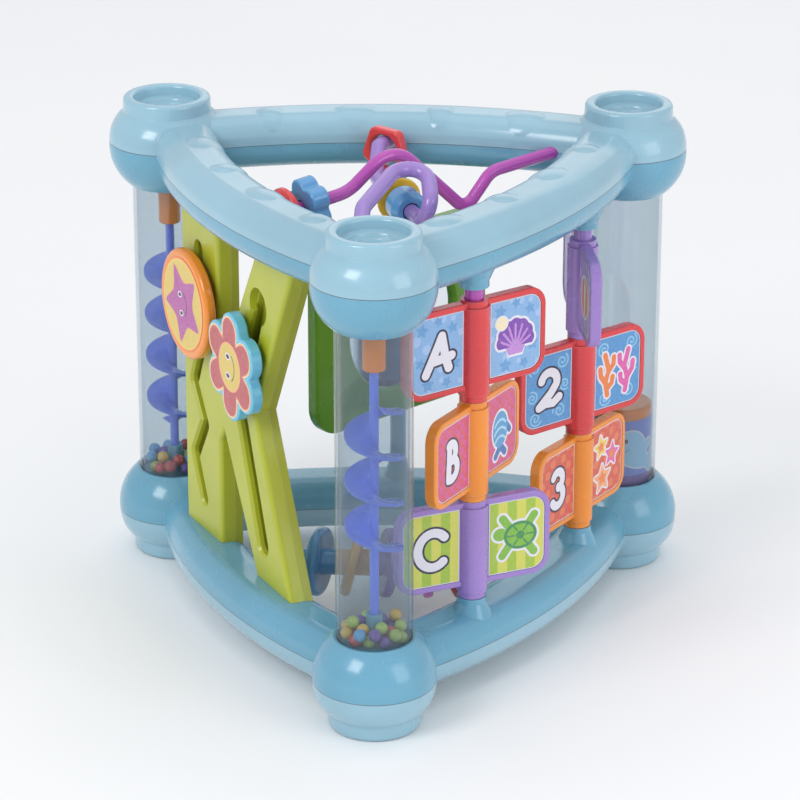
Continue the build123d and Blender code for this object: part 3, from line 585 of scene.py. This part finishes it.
def paint_balls():
    """Each loose ball gets one of five colours.  Its faces share a centre, one radius behind them."""
    colours = {"coral": rgb(226, 78, 72), "purple": rgb(120, 78, 168), "light_blue": rgb(105, 178, 222),
               "yellow": rgb(238, 190, 60), "lime": rgb(176, 200, 80)}
    materials = [plastic("ball_" + name, colour, roughness=0.16, coat=0.5, soft=0.12)
                 for name, colour in colours.items()]
    for node, seed in BALL_SEEDS.items():
        mesh = NODES[node].data
        mesh.materials.clear()
        for material in materials:
            mesh.materials.append(material)
        count = len(mesh.polygons)
        centres = np.empty(count * 3)
        normals = np.empty(count * 3)
        mesh.polygons.foreach_get("center", centres)
        mesh.polygons.foreach_get("normal", normals)
        ball_centres = centres.reshape(-1, 3) - BALL_R * normals.reshape(-1, 3)
        picks = np.zeros(count, np.int32)
        waiting = np.ones(count, bool)
        rng = np.random.default_rng(seed)
        order = []
        while waiting.any():
            if not order:
                order = list(rng.permutation(len(materials)))
            first = ball_centres[np.argmax(waiting)]
            near = waiting & (np.linalg.norm(ball_centres - first, axis=1) < BALL_R / 2)
            near[np.argmax(waiting)] = True
            picks[near] = order.pop()
            waiting &= ~near
        mesh.polygons.foreach_set("material_index", picks)


# ---------------------------------------------------------------- inks
INK_WHITE = printed("ink_white", rgb(232, 229, 238))
INK_NAVY = printed("ink_navy", rgb(30, 24, 62))
INK_SKY = printed("ink_sky", rgb(136, 180, 226), bubbles(rgb(166, 196, 236)))
INK_SKY_STAR = printed("ink_sky_star", rgb(104, 160, 212))
INK_ROSE = printed("ink_rose", rgb(214, 78, 92), checks(rgb(212, 78, 150), 3.4))
INK_MEADOW = printed("ink_meadow", rgb(164, 194, 58), stripes(rgb(212, 212, 88), 5.2))
INK_SEA = printed("ink_sea", rgb(84, 150, 208))
INK_SWIRL = printed("ink_swirl", rgb(140, 196, 232))
INK_CORAL = printed("ink_coral", rgb(216, 82, 56), dots(rgb(230, 116, 70), 5.0))
INK_LILAC = printed("ink_lilac", rgb(176, 156, 222), bubbles(rgb(200, 186, 236)))
INK_PURPLE = printed("ink_purple", rgb(128, 70, 176))
INK_PALE_PURPLE = printed("ink_pale_purple", rgb(196, 140, 216))
INK_PINK = printed("ink_pink", rgb(226, 92, 170))
INK_PEACH = printed("ink_peach", rgb(244, 168, 118))
INK_CREAM = printed("ink_cream", rgb(246, 232, 190))
INK_BLUE = printed("ink_blue", rgb(78, 152, 204))
INK_DEEP_BLUE = printed("ink_deep_blue", rgb(52, 110, 176))
INK_LEAF = printed("ink_leaf", rgb(128, 186, 62))
INK_DEEP_LEAF = printed("ink_deep_leaf", rgb(62, 142, 84))
INK_ORANGE = printed("ink_orange", rgb(238, 128, 60))
INK_YELLOW = printed("ink_yellow", rgb(240, 204, 84))
INK_SALMON = printed("ink_salmon", rgb(188, 74, 80))
INK_ICE = printed("ink_ice", rgb(166, 212, 238))
INK_STRAW = printed("ink_straw", rgb(222, 192, 88))
INK_STAR = printed("ink_star", rgb(178, 76, 156))
INK_STAR_RIM = printed("ink_star_rim", rgb(216, 140, 116))
INK_PERIWINKLE = printed("ink_periwinkle", rgb(122, 136, 214))
INK_BORDER = printed("ink_border", rgb(222, 222, 236))

# ---------------------------------------------------------------- tiles and their pictures, in millimetres
HUB_R = 8.0
WING_REACH = 42.5         # from the spindle to a wing's outer edge
WING_H = 46.0
WING_T = 6.0
WING_LIFT = 2.8           # height of a wing's middle over its hub's middle
POCKET_INSET = 3.0        # wing wall round the label pocket
POCKET_DEPTH = 0.6
PICTURE_W = WING_REACH - POCKET_INSET - HUB_R
PICTURE_H = WING_H - 2 * POCKET_INSET
PICTURE_CORNER = 7.0
PICTURE_ZOOM = 1.16
PICTURE_RIM = 1.1         # white edge round a picture's shapes
SLIM_RIM = 0.9            # the same where the shapes are slender
SHEET_T = 0.25
MARGIN = 0.25             # gap between a label and the wall of its pocket
BORDER = 0.45             # pale edge round the print
LETTER_HALF = 2.4         # half a letter's stroke
LETTER_RIM = 1.15         # dark outline round it


def letter_chains(symbol):
    """Centre lines of a rounded letter or digit, about 18 mm high."""
    chains = {
        "A": [[(-7.2, -9.6), (-3.4, -2.4), (0.2, 4.6), (2.4, 9.2)],
              [(2.4, 9.2), (3.6, 3.0), (4.8, -3.0), (6.6, -8.2)],
              [(-3.8, -3.4), (0, -3.2), (8.4, -2.0)]],
        "B": [[(-3.8, 8.6), (-4.2, 0), (-4.8, -9.2)], arc((-2.6, 4.6), 4.6, 115, -80, 14) + [(-3.6, 0.2)],
              [(-3.6, 0.2)] + arc((-1.6, -4.5), 5.2, 78, -105, 14) + [(-4.8, -9.2)]],
        "C": [arc((1.0, 0), 8.4, 42, 312, 24, 1.12)],
        "1": [[(-4.0, 5.0), (0.6, 9.0)], [(0.6, 9.0), (0.4, 0), (0.2, -9.0)]],
        "2": [arc((0.4, 4.4), 5.2, 168, -28, 16) + [(1.6, -2.2), (-6.2, -8.8)],
              [(-6.2, -8.8), (-1.5, -7.4), (3.4, -8.0), (7.2, -5.4)]],
        "3": [arc((-0.4, 4.5), 4.6, 150, -78, 14), arc((-0.4, -4.6), 5.3, 82, -150, 16)],
    }
    return chains[symbol]


def draw_letter(label, symbol):
    """Pale letter over its own dark outline."""
    chains = letter_chains(symbol)
    label.lines(chains, LETTER_HALF + LETTER_RIM, INK_NAVY)
    label.lines(chains, LETTER_HALF, INK_WHITE)


def cut_out(label, shapes, rim=PICTURE_RIM):
    """Shapes with their colours, over one shared white rim."""
    for outline, _ in shapes:
        label.slab(grown(outline, rim), INK_WHITE)
    for outline, ink in shapes:
        label.slab(outline, ink)


def draw_shell(label):
    """Scallop: a fan with a waved edge and ribs, and a pearl beside it."""
    fan = []
    for i in range(61):
        a = math.radians(-18 + 216 * i / 60)
        r = 9.4 + 0.7 * abs(math.sin(math.radians(180 * 7 * i / 60)))
        fan.append((r * math.cos(a), -2.2 + r * math.sin(a)))
    foot = [(5.2, -5.2), (3.6, -8.6), (-3.6, -8.6), (-5.2, -5.2)]
    cut_out(label, [(fan, INK_PURPLE), (foot, INK_PALE_PURPLE)])
    for k in range(7):
        a = math.radians(6 + 28 * k)
        rib = [(1.2 * math.cos(a), -5.4 + 1.2 * math.sin(a)), (7.6 * math.cos(a), -2.6 + 7.6 * math.sin(a))]
        label.slab(stroke(rib, 0.55), INK_PALE_PURPLE)
    label.slab(oval((-7.4, 6.8), 3.6, 3.6), INK_WHITE)
    label.slab(oval((-7.4, 6.8), 2.9, 2.9), INK_CREAM)
    label.slab(oval((-8.2, 7.7), 0.8, 0.6), INK_WHITE)


def draw_fish(label):
    """Plain fish: oval body, forked tail, fins and stripes."""
    body = oval((-0.6, 0), 8.4, 6.4, 90)
    tail = stroke([(0, -7.6), (-4.4, -11.8)], 1.7)
    tail_two = stroke([(-0.6, -7.6), (3.6, -11.8)], 1.7)
    fin = stroke([(5.0, 0.4), (7.6, -2.6)], 1.5)
    cut_out(label, [(tail, INK_DEEP_BLUE), (tail_two, INK_DEEP_BLUE), (fin, INK_DEEP_BLUE), (body, INK_BLUE)])
    for height in (3.4, -0.4, -4.2):
        reach = 5.4 * math.sqrt(1 - (height / 8.4) ** 2)
        label.slab(stroke(arc((-0.6, height - reach), reach * 1.2, 140, 40, 8), 0.6), INK_ICE)


def draw_turtle(label):
    """Plain turtle from above: domed shell, head, four flippers."""
    shell = oval((1.8, 0), 8.0, 6.6)
    head = oval((-8.0, 1.6), 3.4, 3.0)
    flippers = [stroke([(0.8 + 4.4 * sx, 4.4 * sy), (0.8 + 7.6 * sx, 8.8 * sy)], 1.9)
                for sx in (-1, 1) for sy in (-1, 1)]
    cut_out(label, [(f, INK_LEAF) for f in flippers] + [(head, INK_LEAF), (shell, INK_DEEP_LEAF)])
    label.slab(oval((1.8, 0), 6.6, 5.3), INK_LEAF)
    label.slab(oval((1.8, 0), 2.3, 2.1, steps=6), INK_DEEP_LEAF)
    for k in range(6):
        a = math.radians(60 * k)
        seam = [(1.8 + 3.2 * math.cos(a), 2.8 * math.sin(a)), (1.8 + 6.2 * math.cos(a), 4.9 * math.sin(a))]
        label.slab(stroke(seam, 0.4), INK_DEEP_LEAF)


def draw_weed(label):
    """Two branching sea plants."""
    for x, ink, lean in ((-6.0, INK_ORANGE, -1), (4.6, INK_PINK, 1)):
        stem = [(x, -11), (x + 1.2 * lean, -5), (x - 0.6 * lean, 1), (x + 1.6 * lean, 8.5)]
        twigs = [[(x + 0.9 * lean, -5.4), (x + 4.0 * lean, -1.2), (x + 4.4 * lean, 2.2)],
                 [(x - 0.2 * lean, -0.4), (x - 3.4 * lean, 3.4), (x - 3.6 * lean, 6.6)],
                 [(x + 0.4 * lean, -8.2), (x - 2.6 * lean, -5.6), (x - 3.0 * lean, -2.8)]]
        cut_out(label, [(stroke(c, 1.35), ink) for c in [stem] + twigs], rim=SLIM_RIM)


def draw_stars(label):
    """Three plain stars."""
    for centre, size, turn, ink in (((-4.6, 7.4), 6.4, 96, INK_YELLOW), ((4.6, 1.4), 6.6, 80, INK_PINK),
                                    ((-3.2, -8.4), 7.8, 92, INK_PEACH)):
        outline = star(centre, size, size * 0.46, turn, 0.22)
        cut_out(label, [(outline, ink)], rim=SLIM_RIM)
        label.slab(star(centre, size * 0.5, size * 0.24, turn, 0.22), INK_ORANGE)


def draw_ball(label):
    """Plain beach ball with three curved bands."""
    cut_out(label, [(oval((0, 0), 9.0, 9.0), INK_YELLOW)])
    label.slab(oval((0, 0), 5.6, 9.0), INK_PINK)
    label.slab(oval((0, 0), 2.2, 9.0), INK_CREAM)
    label.slab(oval((0, 8.0), 1.6, 1.0), INK_WHITE)


def scatter_stars(label):
    """Small stars over the ground."""
    for x, y, size, turn in ((-9.5, 14, 4.2, 80), (8.8, 12.5, 3.6, 100), (-10.5, -3, 3.4, 70),
                             (10.5, -6.5, 4.0, 95), (-6.0, -15.0, 4.2, 88), (5.5, -15.5, 3.2, 60),
                             (0.5, 17, 3.0, 110)):
        label.slab(star((x, y), size, size * 0.5, turn, 0.16), INK_SKY_STAR)


def scatter_swirls(label):
    """Small spirals over the ground."""
    for x, y, r, start in ((-9.6, 13.4, 4.0, 20), (9.2, 14.0, 4.2, 200), (11.0, 1.0, 3.6, 90),
                           (-11.0, -2.5, 3.8, 250), (-8.6, -14.5, 4.2, 120), (7.4, -13.2, 4.4, 330)):
        label.slab(stroke(spiral((x, y), r, 1.6, start), 0.5), INK_SWIRL)


TILE_PRINTS = {
    "tile_a": ("A", INK_SKY, scatter_stars, draw_shell),
    "tile_b": ("B", INK_ROSE, None, draw_fish),
    "tile_c": ("C", INK_MEADOW, None, draw_turtle),
    "tile_1": ("1", INK_LILAC, None, draw_ball),
    "tile_2": ("2", INK_SEA, scatter_swirls, draw_weed),
    "tile_3": ("3", INK_CORAL, None, draw_stars),
}


def tile_axis(node):
    """Spindle axis of a tile, at floor height."""
    row = "magenta_spindle" if node in ("tile_a", "tile_b", "tile_c") else "lavender_spindle"
    return level(middle(row))


def wing_direction(node):
    """Direction of a tile's wings, pointing to the right as seen from outside."""
    axis = tile_axis(node)
    spots = np.array([v.co.xy for v in NODES[node].data.vertices]) - np.array(axis.xy)
    spread, directions = np.linalg.eigh(spots.T @ spots)
    longest = Vector((*directions[:, 1], 0.0))
    return longest if longest.dot(ALONG_RIGHT_FACE) > 0 else -longest


def picture_outline(mirrored, margin):
    """A label's outline about its own middle; its hub side has square corners."""
    half_w = PICTURE_W / 2 - margin
    half_h = PICTURE_H / 2 - margin
    corner = PICTURE_CORNER - margin
    radii = (corner, 0, 0, corner) if mirrored else (0, corner, corner, 0)
    return rounded_rect(-half_w, -half_h, half_w, half_h, radii)


def tile_labels(node):
    """Letter and picture on one side of a tile, and again on the other."""
    symbol, ground, scatter, draw_picture = TILE_PRINTS[node]
    label = Label(node + "_labels")
    low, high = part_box(node)
    wing_mid = (low.z + high.z) / 2 + WING_LIFT * MM
    axis = tile_axis(node) + UP * wing_mid
    wing = wing_direction(node)
    seat = WING_T / 2 - POCKET_DEPTH
    centre = HUB_R + PICTURE_W / 2
    for facing in (1, -1):
        right = wing * facing
        out = right.cross(UP)
        for side in (-1, 1):
            on_left = side < 0
            label.slab(picture_outline(on_left, MARGIN), INK_BORDER, thick=SHEET_T)
            label.slab(picture_outline(on_left, MARGIN + BORDER), ground)
            if scatter:
                scatter(label)
            if on_left:
                draw_letter(label, symbol)
            else:
                label.zoom = PICTURE_ZOOM
                draw_picture(label)
                label.zoom = 1.0
            label.place(flat(axis + right * (side * centre * MM) + out * (seat * MM), right))
    return label.finish(node)


# ---------------------------------------------------------------- labels on the sliders and the drum
STAR_LABEL_R = 25.2
STAR_LABEL_RINGS = (24.2, 23.4)
STAR_POINTS = (23.8, 12.2)           # outer and inner radius of the star's rim
STAR_FACE = (22.9, 11.6)
STAR_TURN = 118                      # degrees
STAR_EASE = 0.24
FLOWER_ORBIT = 18.6                  # from the middle to a petal's own middle
FLOWER_EDGE_R = 8.9
FLOWER_FACE_R = 8.5
FLOWER_PETAL_R = 7.5
FLOWER_PETAL_ROOT = 8.0
FLOWER_PETAL_TIP = FLOWER_ORBIT * 1.02
FLOWER_MIDDLE_RINGS = (13.2, 12.4)
PETALS = 6
DISC_LABEL_T = 0.2
WRAP_T = 0.15
WRAP_GAP = 0.04           # clearance between the drum and its wrap
WRAP_HALF_W = 25.0
WRAP_HALF_H = 15.5
WRAP_CORNER = 3
WRAP_EDGE = 2.2           # longest mesh edge, so that the wrap follows the drum
WHALE_FACING = -62        # degrees round the drum, towards the front corner
WHALE_ZOOM = 1.12


def on_left_face(node):
    """Middle of a slider disc's front, for its label."""
    low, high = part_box(node)
    centre = (low + high) / 2
    out = ALONG_LEFT_FACE.cross(UP)
    reach = max((v.co - centre).dot(out) for v in NODES[node].data.vertices)
    return centre + out * reach


def smile(label, eye_gap, eye_size, eye_height, mouth_r, turn):
    """Two plain oval eyes and an arc, turned about the middle."""
    c, n = math.cos(math.radians(turn)), math.sin(math.radians(turn))

    def turned(points):
        return [(x * c - y * n, x * n + y * c) for x, y in points]

    for side in (-1, 1):
        label.slab(turned(oval((side * eye_gap, eye_height), eye_size, eye_size * 1.5)), INK_WHITE)
        label.slab(turned(oval((side * eye_gap, eye_height), eye_size * 0.62, eye_size * 1.05)), INK_NAVY)
    label.slab(stroke(turned(arc((0, eye_height + 1.0), mouth_r, 220, 320, 14)), 0.32), INK_NAVY)


def star_label():
    """Round label with a plain star."""
    label = Label("star_disc_label")
    label.slab(oval((0, 0), STAR_LABEL_R, STAR_LABEL_R, steps=64), INK_ORANGE, thick=DISC_LABEL_T)
    for r, ink in zip(STAR_LABEL_RINGS, (INK_YELLOW, INK_STRAW)):
        label.slab(oval((0, 0), r, r, steps=64), ink)
    label.slab(star((0, 0), *STAR_POINTS, STAR_TURN, STAR_EASE), INK_STAR_RIM)
    label.slab(star((0, 0), *STAR_FACE, STAR_TURN, STAR_EASE), INK_STAR)
    smile(label, eye_gap=5.0, eye_size=1.7, eye_height=2.6, mouth_r=8.4, turn=100)
    label.place(flat(on_left_face("star_disc"), ALONG_LEFT_FACE))
    return label.finish("star_disc")


def lobed(centre_r, petal_r, petals, start, steps=120):
    """Outline of round petals whose centres stand on a circle, the first at an angle in degrees."""
    points = []
    for i in range(steps):
        a = 2 * math.pi * i / steps
        offsets = [((a - math.radians(start) - 2 * math.pi * k / petals + math.pi) % (2 * math.pi)) - math.pi
                   for k in range(petals)]
        d = min(abs(o) for o in offsets)
        reach = centre_r * math.sin(d)
        r = centre_r * 0.93
        if reach < petal_r:
            r = max(r, centre_r * math.cos(d) + math.sqrt(petal_r ** 2 - reach ** 2))
        points.append((r * math.cos(a), r * math.sin(a)))
    return points


def flower_label():
    """Six-petalled label with a round middle."""
    label = Label("flower_disc_label")
    label.slab(lobed(FLOWER_ORBIT, FLOWER_EDGE_R, PETALS, 90), INK_CREAM, thick=DISC_LABEL_T)
    label.slab(lobed(FLOWER_ORBIT, FLOWER_FACE_R, PETALS, 90), INK_PEACH)
    for k in range(PETALS):
        a = math.radians(90 + 360 / PETALS * k)
        tip = (FLOWER_PETAL_TIP * math.cos(a), FLOWER_PETAL_TIP * math.sin(a))
        root = (FLOWER_PETAL_ROOT * math.cos(a), FLOWER_PETAL_ROOT * math.sin(a))
        label.slab(stroke([root, tip], FLOWER_PETAL_R), INK_SALMON)
    for r, ink in zip(FLOWER_MIDDLE_RINGS, (INK_PEACH, INK_STRAW)):
        label.slab(oval((0, 0), r, r, steps=48), ink)
    smile(label, eye_gap=5.2, eye_size=1.9, eye_height=2.0, mouth_r=8.8, turn=90)
    label.place(flat(on_left_face("flower_disc"), ALONG_LEFT_FACE))
    return label.finish("flower_disc")


def drum_label():
    """Wrap round the drum, with a plain whale rising on it, seen from the front."""
    label = Label("drum_label")
    low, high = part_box("drum_body")
    axis = level((low + high) / 2, (low.z + high.z) / 2)
    wrap_r = (high.x - low.x) / 2 / MM + WRAP_GAP
    sheet = rounded_rect(-WRAP_HALF_W, -WRAP_HALF_H, WRAP_HALF_W, WRAP_HALF_H, (WRAP_CORNER,) * 4)
    label.slab(sheet, INK_PERIWINKLE, thick=WRAP_T)
    body = [(-11.0, 1.0), (-8.6, 6.4), (-3.6, 9.6), (2.2, 8.4), (5.6, 3.6), (7.0, -3.0), (9.0, -8.4),
            (6.6, -10.4), (0.6, -9.8), (-5.6, -7.4), (-9.8, -3.4)]
    tail = stroke([(7.6, -8.6), (12.6, -5.0)], 2.3)
    tail_two = stroke([(7.6, -8.6), (11.2, -12.0)], 2.0)
    fin = stroke([(2.0, -1.0), (9.0, 1.6)], 2.0)
    label.zoom = WHALE_ZOOM
    cut_out(label, [(part, INK_ICE) for part in (tail, tail_two, smooth(body), fin)], rim=SLIM_RIM)
    label.slab(stroke([(-9.8, -1.0), (-6.2, -2.0), (-3.2, 0.0)], 0.3), INK_BLUE)
    label.slab(oval((-4.6, 4.4), 0.8, 1.2), INK_NAVY)
    label.zoom = 1.0

    def wrap(p):
        a = math.radians(WHALE_FACING) + p.x / wrap_r
        r = (wrap_r + p.z) * MM
        return axis + Vector((r * math.cos(a), r * math.sin(a), p.y * MM))

    label.place(wrap, longest_edge=WRAP_EDGE)
    return label.finish("drum")


# ---------------------------------------------------------------- stage, light and camera
FLOOR_HALF = 9.0
FLOOR_CELLS = 18
FLOOR_MOTTLE = 3.0
AIR_COLOUR = (0.94, 0.96, 1.0, 1.0)
AIR_STRENGTH = 0.72
CAMERA_AZIMUTH = 3.10     # degrees from -Y towards +X
CAMERA_ELEVATION = 21.49
CAMERA_DISTANCE = 1.8828
CAMERA_LENS = 162.0
CAMERA_SENSOR = 36.0
CAMERA_SHIFT = (0.0127, -0.0296)


def floor():
    """Plain pale floor under the tower."""
    bm = bmesh.new()
    bmesh.ops.create_grid(bm, x_segments=FLOOR_CELLS, y_segments=FLOOR_CELLS, size=FLOOR_HALF)
    mesh = bpy.data.meshes.new("floor")
    bm.to_mesh(mesh)
    bm.free()
    obj = bpy.data.objects.new("floor", mesh)
    bpy.context.scene.collection.objects.link(obj)
    s = Shader("floor_paint")
    tint = s.mix(s.noise(FLOOR_MOTTLE, 3.0), rgb(248, 248, 248), rgb(253, 253, 252))
    mesh.materials.append(s.end(s.principled(Base_Color=tint, Roughness=0.75)))


def softbox(name, place, aim, size, power):
    """Rectangular soft light of a power in watts, aimed at a point."""
    light = bpy.data.lights.new(name, "AREA")
    light.shape = "RECTANGLE"
    light.size, light.size_y = size
    light.energy = power
    obj = bpy.data.objects.new(name, light)
    obj.location = place
    obj.rotation_euler = (Vector(aim) - Vector(place)).to_track_quat("-Z", "Y").to_euler()
    bpy.context.scene.collection.objects.link(obj)


def studio():
    """Bright, soft light from above and in front, and pale air."""
    target = (0, 0, MID_HEIGHT)
    softbox("key_softbox", (-1.3, -1.5, 1.7), target, (1.0, 1.0), 20)
    softbox("fill_softbox", (1.7, -1.2, 0.9), target, (1.1, 1.4), 10)
    softbox("overhead_softbox", (0.1, 0.5, 2.3), target, (1.8, 1.8), 5)
    softbox("back_softbox", (0.4, 2.1, 1.1), target, (1.6, 1.0), 2.5)
    world = bpy.data.worlds.new("studio_air")
    world.use_nodes = True
    air = world.node_tree.nodes["Background"]
    air.inputs["Color"].default_value = AIR_COLOUR
    air.inputs["Strength"].default_value = AIR_STRENGTH
    bpy.context.scene.world = world
    bpy.context.scene.view_settings.view_transform = "Standard"


def camera():
    """Long lens a little to the right of the front corner, looking down."""
    axis = (FRONT + RIGHT + LEFT) / 3
    target = level(axis, MID_HEIGHT)
    a, e = math.radians(CAMERA_AZIMUTH), math.radians(CAMERA_ELEVATION)
    back = Vector((math.sin(a) * math.cos(e), -math.cos(a) * math.cos(e), math.sin(e)))
    data = bpy.data.cameras.new("photo_camera")
    data.lens = CAMERA_LENS
    data.sensor_width = CAMERA_SENSOR
    data.shift_x, data.shift_y = CAMERA_SHIFT
    data.clip_start, data.clip_end = 0.05, 50
    obj = bpy.data.objects.new("photo_camera", data)
    obj.location = target + back * CAMERA_DISTANCE
    obj.rotation_euler = (-back).to_track_quat("-Z", "Y").to_euler()
    bpy.context.scene.collection.objects.link(obj)
    bpy.context.scene.camera = obj


# ---------------------------------------------------------------- build
paint_frame()
paint_balls()
for tile_node in TILE_PRINTS:
    tile_labels(tile_node)
star_label()
flower_label()
drum_label()
floor()
studio()
camera()
